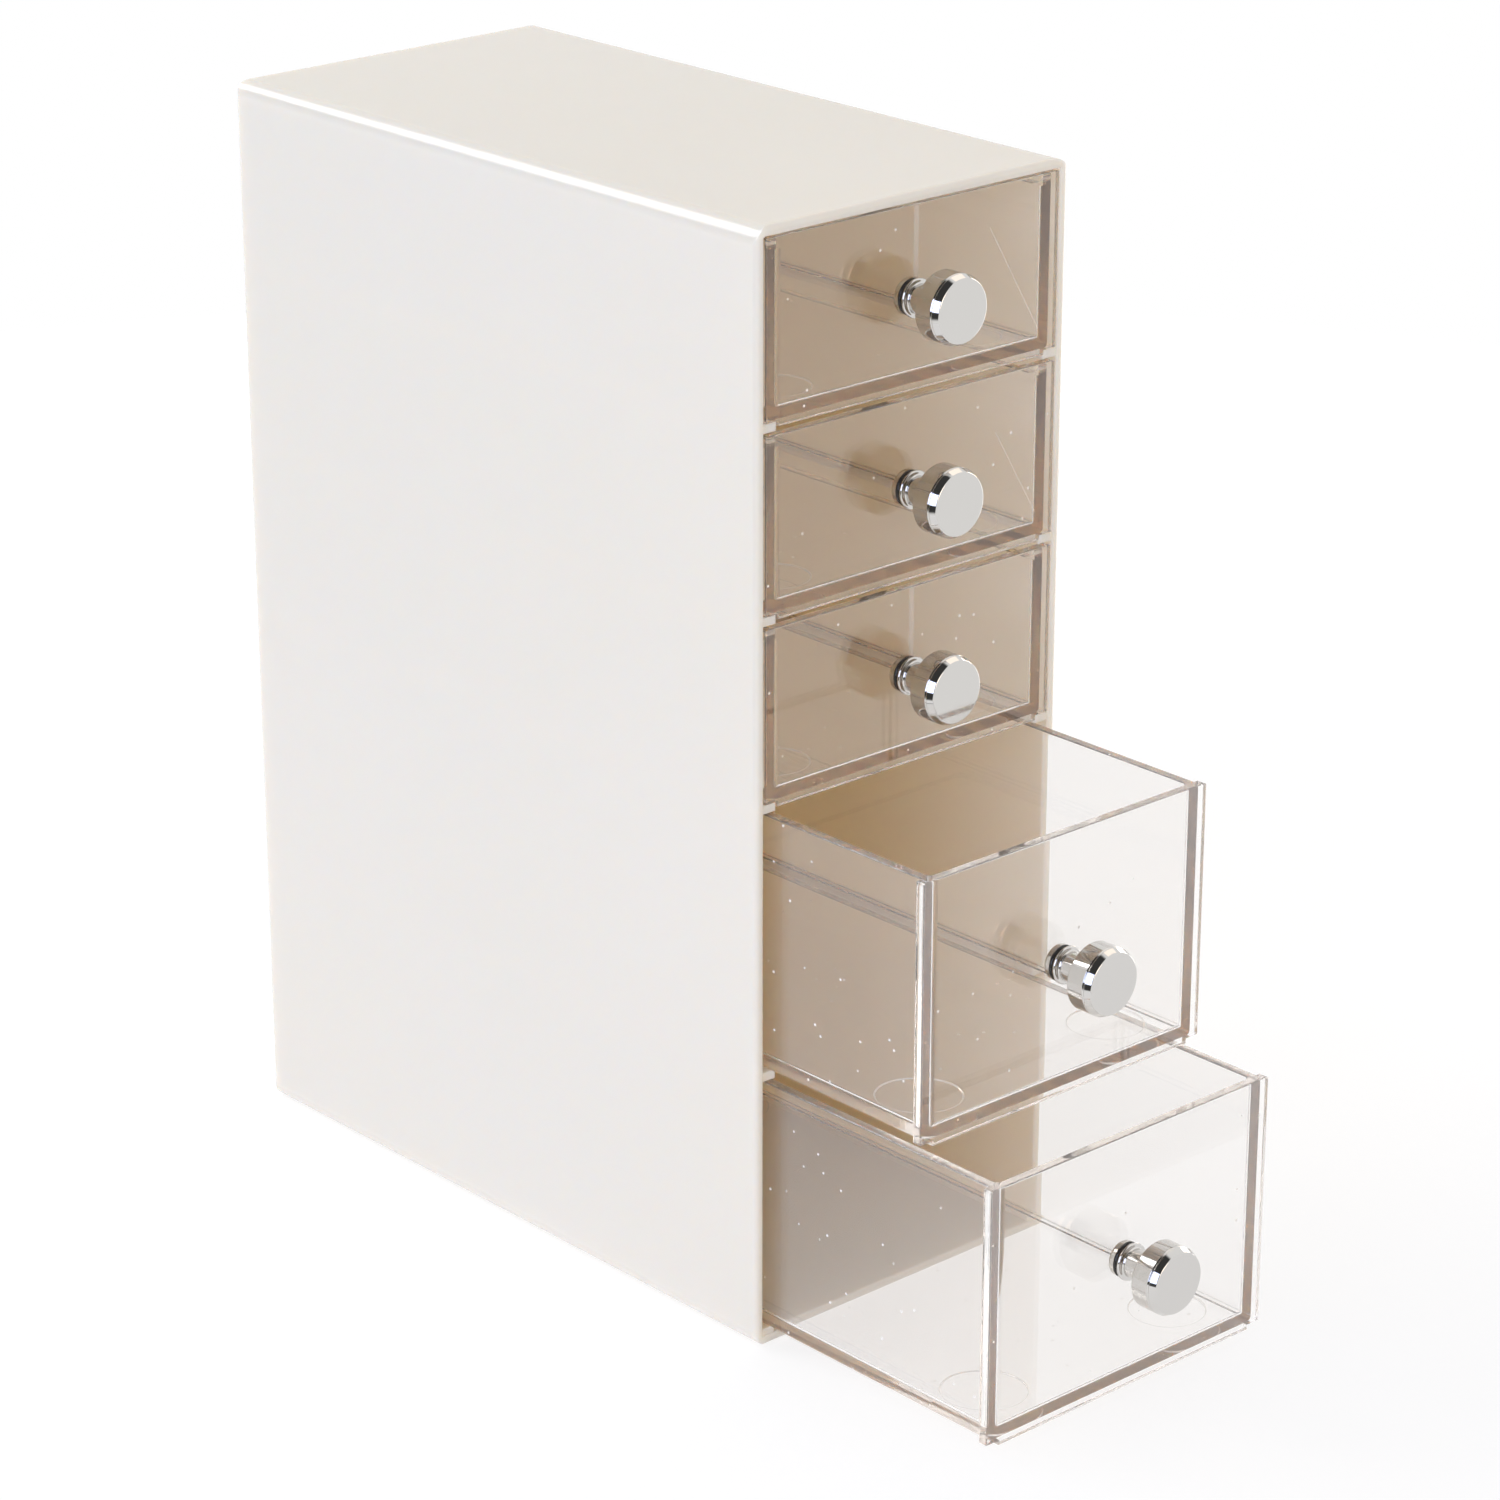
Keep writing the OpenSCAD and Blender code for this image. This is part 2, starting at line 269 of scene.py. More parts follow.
@dataclass(frozen=True)
class ClearStyrene:
    """Crystal-clear polystyrene, moulded, with the small marks that show on it.

    The eye looks straight through a wall and sees its edges, which are bright
    where they bend the white room and amber where it looks a long way down them.
    """

    name: str
    pins: PinMarks
    scratches: tuple[Scratch, ...] = ()
    knit_line: tuple[float, float] | None = None
    tint: str = "#ffffff"
    passed_light: str = "#fbf9f6"
    body_colour: str = "#efc180"
    body_density: float = 3.0
    mark_and_rim_light_colour: str = "#fffaf2"
    ior: float = 1.57
    knit_width: float = 1.4
    knit_strength: float = 0.22
    scratch_strength: float = 0.6
    haze: float = 0.034
    speck_pitch_mm: float = 5.0
    speck_d_mm: float = 0.4
    speck_share: float = 0.3

    def make(self) -> bpy.types.Material:
        """Builds the material.

        Returns:
            A clear plastic that lets the lamps through, with specks of dust,
            the rims of the ejector marks as pale lines of painted highlight,
            any scratches, and any knit line where the melt met behind a pin.
        """
        material, tree = blank_material(self.name)
        place = add(tree, "ShaderNodeTexCoord").outputs["Object"]
        # The ejector marks' rims get pale lines, a painted highlight where their steps catch
        # light
        found = [self._specks(tree, place), self._rim_highlight_lines(tree, place)]
        found += [self._scratch(tree, place, scratch) for scratch in self.scratches]
        if self.knit_line:
            found.append(self._knit(tree, place))
        # The whole surface hazes a little, which lights the long way down a wall
        marks: Socket | float = self.haze
        for mark in found:
            both = add(tree, "ShaderNodeMath", {"operation": "MAXIMUM"}, {0: mark, 1: marks})
            marks = both.outputs["Value"]
        clear = add(tree, "ShaderNodeMath", {"operation": "SUBTRACT"}, {0: 1.0, 1: marks})
        colour = add(
            tree,
            "ShaderNodeMix",
            {"data_type": "RGBA"},
            {0: marks, 6: linear(self.tint), 7: linear(self.mark_and_rim_light_colour)},
        )
        shader = add(
            tree,
            "ShaderNodeBsdfPrincipled",
            feeds={
                "Base Color": colour.outputs[2],
                "Roughness": 0.0,
                "IOR": self.ior,
                "Transmission Weight": clear.outputs["Value"],
            },
        )
        # Lamps shine straight through, so that what is inside gets its light
        path = add(tree, "ShaderNodeLightPath")
        lamp_ray = add(
            tree,
            "ShaderNodeMath",
            {"operation": "MAXIMUM"},
            {0: path.outputs["Is Shadow Ray"], 1: path.outputs["Is Diffuse Ray"]},
        )
        let_through = add(
            tree, "ShaderNodeBsdfTransparent", feeds={"Color": linear(self.passed_light)}
        )
        mixed = add(
            tree,
            "ShaderNodeMixShader",
            feeds={
                0: lamp_ray.outputs["Value"],
                1: shader.outputs["BSDF"],
                2: let_through.outputs["BSDF"],
            },
        )
        # Clear through a wall, the plastic turns amber where it is seen end-on
        body = add(
            tree,
            "ShaderNodeVolumeAbsorption",
            feeds={"Color": linear(self.body_colour), "Density": self.body_density},
        )
        add(
            tree,
            "ShaderNodeOutputMaterial",
            feeds={"Surface": mixed.outputs["Shader"], "Volume": body.outputs["Volume"]},
        )
        return material

    def _specks(self, tree: Tree, place: Socket) -> Socket:
        """Scatters dust specks, one in a few of the pattern's cells.

        Real dust is finer; a speck is drawn as large as it needs to show.

        Args:
            tree: The material's node tree.
            place: Object coordinates.

        Returns:
            A mask that is 1 on a speck and 0 elsewhere.
        """
        cells = add(
            tree,
            "ShaderNodeTexVoronoi",
            feeds={"Vector": place, "Scale": 1 / (self.speck_pitch_mm * MM), "Randomness": 1.0},
        )
        near = add(
            tree,
            "ShaderNodeMapRange",
            feeds={
                "Value": cells.outputs["Distance"],
                "From Min": self.speck_d_mm / self.speck_pitch_mm,
                "From Max": self.speck_d_mm / self.speck_pitch_mm / 2,
                "To Min": 0.0,
                "To Max": 1.0,
            },
        )
        chosen = add(tree, "ShaderNodeSeparateColor", feeds={"Color": cells.outputs["Color"]})
        some = add(
            tree,
            "ShaderNodeMath",
            {"operation": "GREATER_THAN"},
            {0: chosen.outputs["Red"], 1: 1 - self.speck_share},
        )
        return add(
            tree,
            "ShaderNodeMath",
            {"operation": "MULTIPLY"},
            {0: near.outputs["Result"], 1: some.outputs["Value"]},
        ).outputs["Value"]

    def _rim_highlight_lines(self, tree: Tree, place: Socket) -> Socket:
        """Draws the rims of the four ejector marks as pale lines: a painted
        highlight in place of the light that each step's edge catches.

        Args:
            tree: The material's node tree.
            place: Object coordinates.

        Returns:
            A mask that is the marks' strength on each ring and 0 elsewhere.
        """
        pins = self.pins
        # The four marks lie alike about the floor's middle, so folding makes them one
        from_middle = add(
            tree,
            "ShaderNodeVectorMath",
            {"operation": "SUBTRACT"},
            {0: place, 1: (0.0, pins.middle_y * MM, pins.floor_z * MM)},
        )
        folded = add(
            tree,
            "ShaderNodeVectorMath",
            {"operation": "ABSOLUTE"},
            {0: from_middle.outputs["Vector"]},
        )
        from_pin = add(
            tree,
            "ShaderNodeVectorMath",
            {"operation": "SUBTRACT"},
            {0: folded.outputs["Vector"], 1: (pins.side_x * MM, pins.end_y * MM, 0.0)},
        )
        flat = add(
            tree,
            "ShaderNodeVectorMath",
            {"operation": "MULTIPLY"},
            {0: from_pin.outputs["Vector"], 1: (1.0, 1.0, 0.0)},
        )
        reach = add(
            tree,
            "ShaderNodeVectorMath",
            {"operation": "LENGTH"},
            {0: flat.outputs["Vector"]},
        )
        ring = add(
            tree,
            "ShaderNodeMath",
            {"operation": "COMPARE"},
            {0: reach.outputs["Value"], 1: pins.diameter * MM / 2, 2: pins.line * MM / 2},
        )
        split = add(tree, "ShaderNodeSeparateXYZ", feeds={"Vector": folded.outputs["Vector"]})
        near_floor = add(
            tree,
            "ShaderNodeMath",
            {"operation": "LESS_THAN"},
            {0: split.outputs["Z"], 1: pins.reach_z * MM},
        )
        drawn = add(
            tree,
            "ShaderNodeMath",
            {"operation": "MULTIPLY"},
            {0: ring.outputs["Value"], 1: near_floor.outputs["Value"]},
        )
        return add(
            tree,
            "ShaderNodeMath",
            {"operation": "MULTIPLY"},
            {0: drawn.outputs["Value"], 1: pins.strength},
        ).outputs["Value"]

    def _scratch(self, tree: Tree, place: Socket, scratch: Scratch) -> Socket:
        """Draws one scratch, as a thin line between two points of the front.

        Args:
            tree: The material's node tree.
            place: Object coordinates.
            scratch: Where the scratch runs.

        Returns:
            A mask that is scratch_strength on the line and 0 away from it.
        """
        start, end = Vector(scratch.start) * MM, Vector(scratch.end) * MM
        length = (end - start).length
        angle = math.atan2(end.y - start.y, end.x - start.x)
        # Turned about Y so that the line lies along X, with its start at the origin
        turned = add(
            tree,
            "ShaderNodeMapping",
            {"vector_type": "TEXTURE"},
            {
                "Vector": place,
                "Location": (start.x, 0.0, start.y),
                "Rotation": (0.0, -angle, 0.0),
            },
        )
        split = add(tree, "ShaderNodeSeparateXYZ", feeds={"Vector": turned.outputs["Vector"]})
        across = add(tree, "ShaderNodeMath", {"operation": "ABSOLUTE"}, {0: split.outputs["Z"]})
        thin = add(
            tree,
            "ShaderNodeMapRange",
            feeds={
                "Value": across.outputs["Value"],
                "From Min": scratch.width * MM / 2,
                "From Max": scratch.width * MM / 4,
                "To Min": 0.0,
                "To Max": self.scratch_strength,
            },
        )
        along = add(
            tree,
            "ShaderNodeMath",
            {"operation": "COMPARE"},
            {0: split.outputs["X"], 1: length / 2, 2: length / 2},
        )
        drawn = add(
            tree,
            "ShaderNodeMath",
            {"operation": "MULTIPLY"},
            {0: thin.outputs["Result"], 1: along.outputs["Value"]},
        )
        return add(
            tree,
            "ShaderNodeMath",
            {"operation": "MULTIPLY"},
            {0: drawn.outputs["Value"], 1: self._outer_face(tree, place)},
        ).outputs["Value"]

    def _outer_face(self, tree: Tree, place: Socket) -> Socket:
        """Returns a mask that is 1 on the outer face of a closed drawer's front."""
        split = add(tree, "ShaderNodeSeparateXYZ", feeds={"Vector": place})
        return add(
            tree,
            "ShaderNodeMath",
            {"operation": "LESS_THAN"},
            {0: split.outputs["Y"], 1: FACE_SIDE_Y * MM},
        ).outputs["Value"]

    def _knit(self, tree: Tree, place: Socket) -> Socket:
        """Draws the knit line, upright on the middle of the front.

        Args:
            tree: The material's node tree.
            place: Object coordinates.

        Returns:
            A mask that is knit_strength on the line and 0 away from it.
        """
        low, high = (z * MM for z in self.knit_line)
        split = add(tree, "ShaderNodeSeparateXYZ", feeds={"Vector": place})
        half = self.knit_width * MM / 2
        across = add(
            tree,
            "ShaderNodeMath",
            {"operation": "COMPARE"},
            {0: split.outputs["X"], 1: 0.0, 2: half},
        )
        upright = add(
            tree,
            "ShaderNodeMath",
            {"operation": "COMPARE"},
            {0: split.outputs["Z"], 1: (low + high) / 2, 2: (high - low) / 2},
        )
        both = add(
            tree,
            "ShaderNodeMath",
            {"operation": "MULTIPLY"},
            {0: across.outputs["Value"], 1: upright.outputs["Value"]},
        )
        faced = add(
            tree,
            "ShaderNodeMath",
            {"operation": "MULTIPLY"},
            {0: both.outputs["Value"], 1: self._outer_face(tree, place)},
        )
        return add(
            tree,
            "ShaderNodeMath",
            {"operation": "MULTIPLY"},
            {0: faced.outputs["Value"], 1: self.knit_strength},
        ).outputs["Value"]


@dataclass(frozen=True)
class PlatedMetal:
    """Turned metal under bright plating: chrome on the knobs, nickel on the screws.

    The eye gets a mirror: a plain pale face, a bevel with a dark and a bright
    side, and a band that carries the drawer's own colours.
    """

    name: str
    colour: str
    roughness: float
    spread: float
    ripple_mm: float
    ripple_depth_mm: float
    ripple_detail: float = 2.0
    patch_mm: float = 2.5
    patch_detail: float = 5.0
    patch_grain: float = 0.65

    def make(self) -> bpy.types.Material:
        """Builds the material.

        Returns:
            A bright metal with a patchy polish and very fine waviness.
        """
        material, tree = blank_material(self.name)
        place = add(tree, "ShaderNodeTexCoord").outputs["Object"]
        # Finger-worn patches make some parts of a mirror image crisper than others
        patches = add(
            tree,
            "ShaderNodeTexNoise",
            feeds={
                "Vector": place,
                "Scale": 1 / (self.patch_mm * MM),
                "Detail": self.patch_detail,
                "Roughness": self.patch_grain,
            },
        )
        polish = add(
            tree,
            "ShaderNodeMapRange",
            feeds={
                "Value": patches.outputs["Fac"],
                "From Min": NOISE_LOW,
                "From Max": NOISE_HIGH,
                "To Min": self.roughness,
                "To Max": self.roughness + self.spread,
            },
        )
        # The plating flows over the turned metal, which bends what it mirrors
        ripple = add(
            tree,
            "ShaderNodeTexNoise",
            feeds={
                "Vector": place,
                "Scale": 1 / (self.ripple_mm * MM),
                "Detail": self.ripple_detail,
            },
        )
        wave = add(
            tree,
            "ShaderNodeBump",
            feeds={
                "Height": ripple.outputs["Fac"],
                "Distance": self.ripple_depth_mm * MM,
                "Strength": 1.0,
            },
        )
        shader = add(
            tree,
            "ShaderNodeBsdfPrincipled",
            feeds={
                "Base Color": linear(self.colour),
                "Metallic": 1.0,
                "Roughness": polish.outputs["Result"],
                "Normal": wave.outputs["Normal"],
            },
        )
        add(tree, "ShaderNodeOutputMaterial", feeds={"Surface": shader.outputs["BSDF"]})
        return material


@dataclass(frozen=True)
class StudioPaper:
    """Matt white paper under the object, which runs into the white room.

    The eye gets a white ground with a soft shadow on it. Distances are in
    metres, measured from the middle of the floor.
    """

    colour: str = "#fafafa"
    glow: float = 1.08
    shadow_share: float = 0.3
    clear_r: float = 0.5
    edge_r: float = 0.75
    seam_share: float = 0.98
    mirrored_r: float = 0.34
    mirrored_fade: float = 1.2

    def make(self) -> bpy.types.Material:
        """Builds the material.

        Returns:
            A paper that keeps a part of the object's shadow, and grows whiter
            outwards so that no edge shows where it ends.
        """
        material, tree = blank_material("matt_white_paper")
        place = add(tree, "ShaderNodeTexCoord").outputs["Object"]
        reach = add(tree, "ShaderNodeVectorMath", {"operation": "LENGTH"}, {0: place})
        paper = add(tree, "ShaderNodeBsdfDiffuse", feeds={"Color": linear(self.colour)})
        white = add(
            tree,
            "ShaderNodeEmission",
            feeds={"Color": (1, 1, 1, 1), "Strength": self.glow},
        )
        fade = add(
            tree,
            "ShaderNodeMapRange",
            feeds={
                "Value": reach.outputs["Value"],
                "From Min": self.clear_r,
                "From Max": self.edge_r * self.seam_share,
                "To Min": 1 - self.shadow_share,
                "To Max": 1.0,
            },
        )
        path = add(tree, "ShaderNodeLightPath")
        passing = add(
            tree,
            "ShaderNodeMath",
            {"operation": "MAXIMUM"},
            {0: path.outputs["Is Glossy Ray"], 1: path.outputs["Is Transmission Ray"]},
        )
        seen = add(
            tree,
            "ShaderNodeMath",
            {"operation": "MAXIMUM"},
            {0: path.outputs["Is Camera Ray"], 1: passing.outputs["Value"]},
        )
        share = add(
            tree,
            "ShaderNodeMath",
            {"operation": "MULTIPLY"},
            {0: seen.outputs["Value"], 1: fade.outputs["Result"]},
        )
        both = add(
            tree,
            "ShaderNodeMixShader",
            feeds={
                0: share.outputs["Value"],
                1: paper.outputs["BSDF"],
                2: white.outputs["Emission"],
            },
        )
        # A mirror sees only the floor round the object, and the room beyond it
        far = add(
            tree,
            "ShaderNodeMapRange",
            feeds={
                "Value": reach.outputs["Value"],
                "From Min": self.mirrored_r,
                "From Max": self.mirrored_r * self.mirrored_fade,
            },
        )
        beyond = add(
            tree,
            "ShaderNodeMath",
            {"operation": "MULTIPLY"},
            {0: path.outputs["Is Glossy Ray"], 1: far.outputs["Result"]},
        )
        open_air = add(tree, "ShaderNodeBsdfTransparent")
        ended = add(
            tree,
            "ShaderNodeMixShader",
            feeds={
                0: beyond.outputs["Value"],
                1: both.outputs["Shader"],
                2: open_air.outputs["BSDF"],
            },
        )
        add(tree, "ShaderNodeOutputMaterial", feeds={"Surface": ended.outputs["Shader"]})
        return material


# ---- The organizer ----


@dataclass
class Casing:
    """The moulded casing with its runners, one solid."""

    finish: GlossPolystyrene = GlossPolystyrene()

    def build(self) -> None:
        """Dresses the casing's node."""
        dress("casing", self.finish.make())
        log.info("casing: dressed")


@dataclass
class Knob:
    """A knob turned from one bar: ringed foot, neck and a head with a bevelled edge.

    Lengths are in millimetres, and each distance is from the drawer's front.
    """

    number: int
    front_y: float
    axis_z: float
    seat_gap: float = 0.02
    foot_d: float = 8.6
    foot_t: float = 0.9
    neck_d: float = 6.4
    neck_l: float = 6.5
    neck_fillet: float = 0.45
    head_d: float = 15.3
    back_chamfer: float = 0.4
    band_l: float = 5.0
    groove: float = 0.25
    bevel_l: float = 1.7
    bevel_w: float = 0.75
    bore_d: float = 4.06
    bore_l: float = 9.0
    face_edge: float = 0.25
    edge_r: float = 0.08
    edge_steps: int = 2
    sharp_deg: float = 22.0
    merge_mm: float = 0.001
    arc_steps: int = 6
    turns: int = 96

    def build(self, finish: bpy.types.Material) -> None:
        """Turns the knob, dresses it and seats it in place of its node.

        Args:
            finish: What the knob is plated with.
        """
        name = f"turned_knob_{self.number}"
        mesh = self._turned(name)
        mesh.materials.append(finish)
        piece = bpy.data.objects.new(name, mesh)
        bpy.context.scene.collection.objects.link(piece)
        even = piece.modifiers.new("even_shading", "WEIGHTED_NORMAL")
        even.mode = "FACE_AREA"
        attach(piece, f"drawer_{self.number}_body")
        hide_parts(f"knob_{self.number}")
        log.info("knob %d: turned", self.number)

    def _turned(self, name: str) -> bpy.types.Mesh:
        """Turns the profile about the knob's axis and breaks its sharp edges.

        Args:
            name: The mesh's name.

        Returns:
            The knob's mesh, in place and smooth.
        """
        shape = bmesh.new()
        centre = Vector((0.0, self.front_y, self.axis_z)) * MM
        line = [
            shape.verts.new(centre + Vector((r, -out, 0.0)) * MM) for out, r in self._profile()
        ]
        edges = [shape.edges.new(pair) for pair in zip(line, line[1:])]
        bmesh.ops.spin(
            shape,
            geom=line + edges,
            cent=centre,
            axis=(0.0, 1.0, 0.0),
            angle=math.tau,
            steps=self.turns,
            use_merge=True,
        )
        bmesh.ops.remove_doubles(shape, verts=shape.verts, dist=self.merge_mm * MM)
        bmesh.ops.recalc_face_normals(shape, faces=shape.faces)
        sharp = [
            edge
            for edge in shape.edges
            if len(edge.link_faces) == 2
            and edge.calc_face_angle() > math.radians(self.sharp_deg)
        ]
        bmesh.ops.bevel(
            shape,
            geom=sharp,
            offset=self.edge_r * MM,
            segments=self.edge_steps,
            profile=0.5,
            affect="EDGES",
            material=-1,
        )
        for face in shape.faces:
            face.smooth = True
        mesh = bpy.data.meshes.new(name)
        shape.to_mesh(mesh)
        shape.free()
        return mesh

    def _profile(self) -> list[tuple[float, float]]:
        """Works out half of the knob's section.

        Returns:
            Points of (distance out from the front, radius), from the middle of
            the face, round the outside and back up the bore.
        """
        head_r, neck_r, foot_r = self.head_d / 2, self.neck_d / 2, self.foot_d / 2
        back = self.foot_t + self.neck_l
        band_end = back + self.band_l
        face = band_end + self.bevel_l
        fillet, bead = self.neck_fillet, (self.foot_t - self.seat_gap) / 2
        quarter = [math.pi / 2 * i / self.arc_steps for i in range(self.arc_steps + 1)]
        half = [math.pi * i / (2 * self.arc_steps) for i in range(2 * self.arc_steps + 1)]
        # The face turns into the bevel by a soft edge, which catches a line of light
        corner = Vector((face, head_r - self.bevel_w))
        bevel = (Vector((band_end + self.groove, head_r)) - corner).normalized()
        start = corner - Vector((0.0, self.face_edge))
        end = corner + bevel * self.face_edge
        soft = [i / self.arc_steps for i in range(self.arc_steps + 1)]
        points = [(face, 0.0)]
        points += [tuple(start.lerp(corner, t).lerp(corner.lerp(end, t), t)) for t in soft]
        points += [
            (band_end + self.groove, head_r),
            (band_end, head_r - self.groove),
            (band_end - self.groove, head_r),
            (back + self.back_chamfer, head_r),
            (back, head_r - self.back_chamfer),
        ]
        points += [
            (back - fillet + fillet * math.cos(a), neck_r + fillet - fillet * math.sin(a))
            for a in quarter
        ]
        foot_end = self.foot_t + fillet
        points += [
            (foot_end - fillet * math.sin(a), neck_r + fillet - fillet * math.cos(a))
            for a in quarter
        ]
        points += [
            (self.foot_t - bead + bead * math.cos(a), foot_r - bead + bead * math.sin(a))
            for a in half
        ]
        points += [
            (self.seat_gap, self.bore_d / 2),
            (self.bore_l, self.bore_d / 2),
            (self.bore_l, 0.0),
        ]
        return points


class DrawerKind(Enum):
    """The two kinds of drawer; each value is its front's height in millimetres."""

    SHALLOW = 40.1
    DEEP = 60.15


@dataclass
class Drawer:
    """One clear drawer with its knob and screw.

    Lengths are in millimetres: how far the front's lower edge lies above the
    casing's underside, how far the drawer is out at rest, and, from the front,
    how far up the tub's floor is and how far back its middle is.
    """

    number: int
    kind: DrawerKind
    front_bottom: float
    out: float = 0.0
    scratches: tuple[Scratch, ...] = ()
    has_knit_line: bool = False
    neck_r: float = 3.2
    floor_up: float = 3.4
    tub_middle: float = 85.4

    def build(self, knob_finish: bpy.types.Material, screw_finish: bpy.types.Material) -> None:
        """Dresses the drawer and its screw, and turns its knob.

        Args:
            knob_finish: What the knob is plated with.
            screw_finish: What the screw is plated with.
        """
        front_top = self.front_bottom + self.kind.value
        middle = (self.front_bottom + front_top) / 2
        knit = (middle + self.neck_r, front_top) if self.has_knit_line else None
        front_y = RIM_Y - self.out
        pins = PinMarks(front_y + self.tub_middle, self.front_bottom + self.floor_up)
        finish = ClearStyrene(f"clear_polystyrene_{self.number}", pins, self.scratches, knit)
        dress(f"drawer_{self.number}", finish.make())
        Knob(self.number, front_y, middle).build(knob_finish)
        dress(f"screw_{self.number}", screw_finish)
        log.info("drawer %d and its screw: dressed", self.number)


# ---- The studio ----


@dataclass
class Lamp:
    """A soft rectangular lamp, aimed at a point, in metres."""

    name: str
    place: tuple[float, float, float]
    aim: tuple[float, float, float]
    width: float
    height: float
    watts: float
    colour: str = "#ffffff"

    def build(self) -> None:
        """Hangs the lamp."""
        data = bpy.data.lights.new(self.name, "AREA")
        data.shape = "RECTANGLE"
        data.size, data.size_y = self.width, self.height
        data.energy = self.watts
        data.color = linear(self.colour)[:3]
        lamp = bpy.data.objects.new(self.name, data)
        lamp.location = self.place
        beam = Vector(self.aim) - Vector(self.place)
        lamp.rotation_euler = beam.to_track_quat("-Z", "Y").to_euler()
        bpy.context.scene.collection.objects.link(lamp)


@dataclass
class Studio:
    """A white floor that runs into a white room, soft lamps and the camera.

    Places are in metres, and a level of 1 is white. A span is the pair of
    cosines between which a side of the room blends in.
    """

    paper: StudioPaper = StudioPaper()
    floor_sides: int = 96
    room_level: float = 0.57
    room_colour: str = "#f9fbff"
    mirrored_level: float = 1.0
    dark_level: float = 0.05
    dark_side: tuple[float, float, float] = (-0.8, 0.0, 0.6)
    dark_span: tuple[float, float] = (0.4, 0.56)
    bright_extra: float = 1.3
    bright_side: tuple[float, float, float] = (0.93, 0.05, -0.36)
    bright_span: tuple[float, float] = (0.9, 0.97)
    total_bounces: int = 128
    diffuse_bounces: int = 16
    inner_bounces: int = 100
    passes: int = 64
    lens_mm: float = 115.08
    sensor_mm: float = 36.0
    sees_to: float = 20.0
    camera_place: tuple[float, float, float] = (-0.66944, -0.77831, 0.49909)
    camera_aim: tuple[float, float, float] = (-0.00186, -0.03833, 0.11538)
    lamps: list[Lamp] = field(
        default_factory=lambda: [
            Lamp("left", (-1.6, -0.5, 0.6), (0, 0, 0.12), 1.2, 1.0, 13.7, "#d1dcff"),
            Lamp("front", (0.1, -2.2, 0.4), (0, 0, 0.12), 0.9, 0.7, 5.6, "#ffe6cc"),
            Lamp("top", (0.75, 0.3, 1.45), (0, 0, 0.1), 1.0, 1.0, 1.9, "#ffdfbc"),
            Lamp("back_right", (1.45, 0.25, 0.5), (0, 0, 0.12), 0.6, 0.6, 5.0, "#fff2e4"),
            Lamp("back_left", (-0.55, 1.05, 1.1), (0, 0, 0.2), 0.75, 0.65, 6.9),
        ]
    )

    def build(self) -> None:
        """Sets up the floor, the room, the lamps, the camera and the light paths."""
        self._floor()
        self._room()
        for lamp in self.lamps:
            lamp.build()
        self._camera()
        scene = bpy.context.scene
        scene.view_settings.view_transform = "Standard"
        # Light runs down the clear walls by dozens of inner reflections
        scene.cycles.max_bounces = self.total_bounces
        scene.cycles.diffuse_bounces = self.diffuse_bounces
        scene.cycles.glossy_bounces = self.inner_bounces
        scene.cycles.transmission_bounces = self.inner_bounces
        scene.cycles.transparent_max_bounces = self.passes
        scene.cycles.caustics_reflective = False
        scene.cycles.caustics_refractive = False
        log.info("studio: set up")

    def _floor(self) -> None:
        """Lays the round floor, white to its edge, where the room takes over."""
        shape = bmesh.new()
        bmesh.ops.create_circle(
            shape, cap_ends=True, segments=self.floor_sides, radius=self.paper.edge_r
        )
        mesh = bpy.data.meshes.new("floor")
        shape.to_mesh(mesh)
        shape.free()
        mesh.materials.append(self.paper.make())
        floor = bpy.data.objects.new("floor", mesh)
        bpy.context.scene.collection.objects.link(floor)

    def _room(self) -> None:
        """Makes the room: white where it is seen, grey where it lights or is mirrored."""
        world = bpy.data.worlds.new("room")
        bpy.context.scene.world = world
        world.use_nodes = True
        tree = world.node_tree
        tree.nodes.clear()
        path = add(tree, "ShaderNodeLightPath")
        seen = add(
            tree,
            "ShaderNodeMath",
            {"operation": "MAXIMUM"},
            {0: path.outputs["Is Camera Ray"], 1: path.outputs["Is Transmission Ray"]},
        )
        # One side of the room is dark, so that the chrome has something to show,
        # and one is brighter than white, which draws thin lines on soft edges
        dark = self._side(
            tree, self.dark_side, self.dark_span, self.mirrored_level, self.dark_level
        )
        bright = self._side(tree, self.bright_side, self.bright_span, 0.0, self.bright_extra)
        mirrored = add(tree, "ShaderNodeMath", {"operation": "ADD"}, {0: dark, 1: bright})
        unseen = add(
            tree,
            "ShaderNodeMix",
            {"data_type": "FLOAT"},
            {
                0: path.outputs["Is Glossy Ray"],
                2: self.room_level,
                3: mirrored.outputs["Value"],
            },
        )
        strength = add(
            tree,
            "ShaderNodeMix",
            {"data_type": "FLOAT"},
            {0: seen.outputs["Value"], 2: unseen.outputs[0], 3: 1.0},
        )
        shade = add(
            tree,
            "ShaderNodeMix",
            {"data_type": "RGBA"},
            {0: path.outputs["Is Diffuse Ray"], 6: (1, 1, 1, 1), 7: linear(self.room_colour)},
        )
        light = add(
            tree,
            "ShaderNodeBackground",
            feeds={"Color": shade.outputs[2], "Strength": strength.outputs[0]},
        )
        add(tree, "ShaderNodeOutputWorld", feeds={"Surface": light.outputs["Background"]})

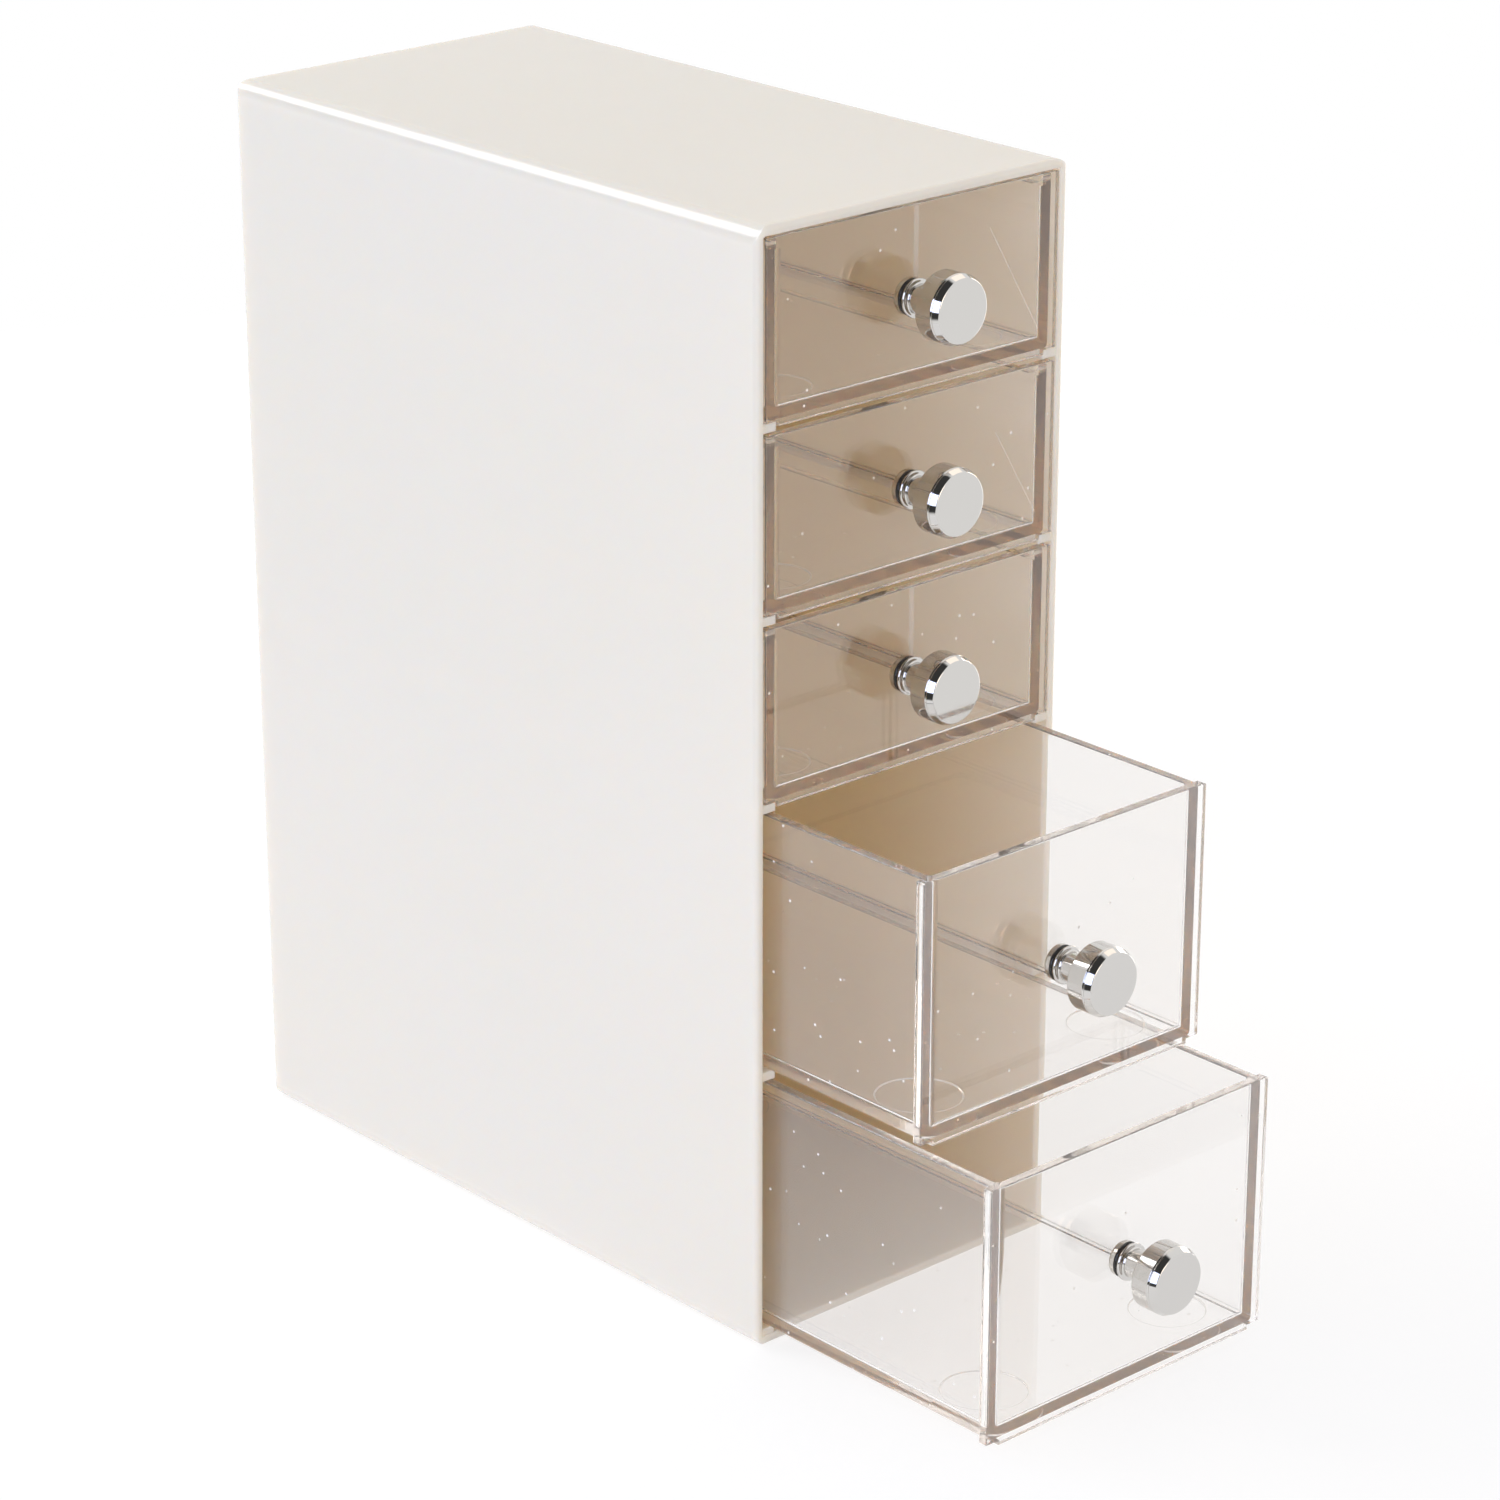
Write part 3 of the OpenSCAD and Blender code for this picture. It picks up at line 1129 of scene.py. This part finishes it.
    def _side(
        self,
        tree: Tree,
        side: tuple[float, float, float],
        span: tuple[float, float],
        away: float,
        at: float,
    ) -> Socket:
        """Blends softly from one level to another towards one side of the room.

        Args:
            tree: The world's node tree.
            side: The direction of the side.
            span: How nearly a ray points there (the cosine) as the blend starts
                and as it ends.
            away: The level away from that side.
            at: The level at that side.

        Returns:
            The level for each ray.
        """
        way = add(tree, "ShaderNodeTexCoord").outputs["Generated"]
        towards = add(
            tree,
            "ShaderNodeVectorMath",
            {"operation": "DOT_PRODUCT"},
            {0: way, 1: Vector(side).normalized()},
        )
        return add(
            tree,
            "ShaderNodeMapRange",
            {"interpolation_type": "SMOOTHSTEP"},
            {
                "Value": towards.outputs["Value"],
                "From Min": span[0],
                "From Max": span[1],
                "To Min": away,
                "To Max": at,
            },
        ).outputs["Result"]

    def _camera(self) -> None:
        """Places the camera where the photograph was taken from."""
        data = bpy.data.cameras.new("camera")
        data.lens = self.lens_mm
        data.sensor_width = self.sensor_mm
        data.clip_end = self.sees_to
        camera = bpy.data.objects.new("camera", data)
        camera.location = self.camera_place
        look = Vector(self.camera_aim) - Vector(self.camera_place)
        camera.rotation_euler = look.to_track_quat("-Z", "Y").to_euler()
        bpy.context.scene.collection.objects.link(camera)
        bpy.context.scene.camera = camera


def main() -> None:
    """Dresses the organizer from the casing to the lowest drawer, then lights it."""
    logging.basicConfig(level=logging.INFO, format="%(name)s: %(message)s")
    Studio().build()
    Casing().build()
    chrome = PlatedMetal(
        "chrome_plate",
        colour="#d3d1ce",
        roughness=0.03,
        spread=0.04,
        ripple_mm=1.6,
        ripple_depth_mm=0.0008,
    )
    nickel = PlatedMetal(
        "nickel_plate",
        colour="#d8d4cd",
        roughness=0.14,
        spread=0.08,
        ripple_mm=0.5,
        ripple_depth_mm=0.002,
    )
    knob_finish, screw_finish = chrome.make(), nickel.make()
    long_scratch = Scratch((21.4, 240.6), (36.3, 215.9))
    short_scratch = Scratch((24.2, 195.2), (36.6, 174.8))
    for drawer in (
        Drawer(1, DrawerKind.SHALLOW, 209.4, scratches=(long_scratch,), has_knit_line=True),
        Drawer(2, DrawerKind.SHALLOW, 167.7, scratches=(short_scratch,)),
        Drawer(3, DrawerKind.SHALLOW, 126.0, has_knit_line=True),
        Drawer(4, DrawerKind.DEEP, 64.25, out=48.0),
        Drawer(5, DrawerKind.DEEP, 2.5, out=69.0),
    ):
        drawer.build(knob_finish, screw_finish)


if __name__ == "__main__":
    main()
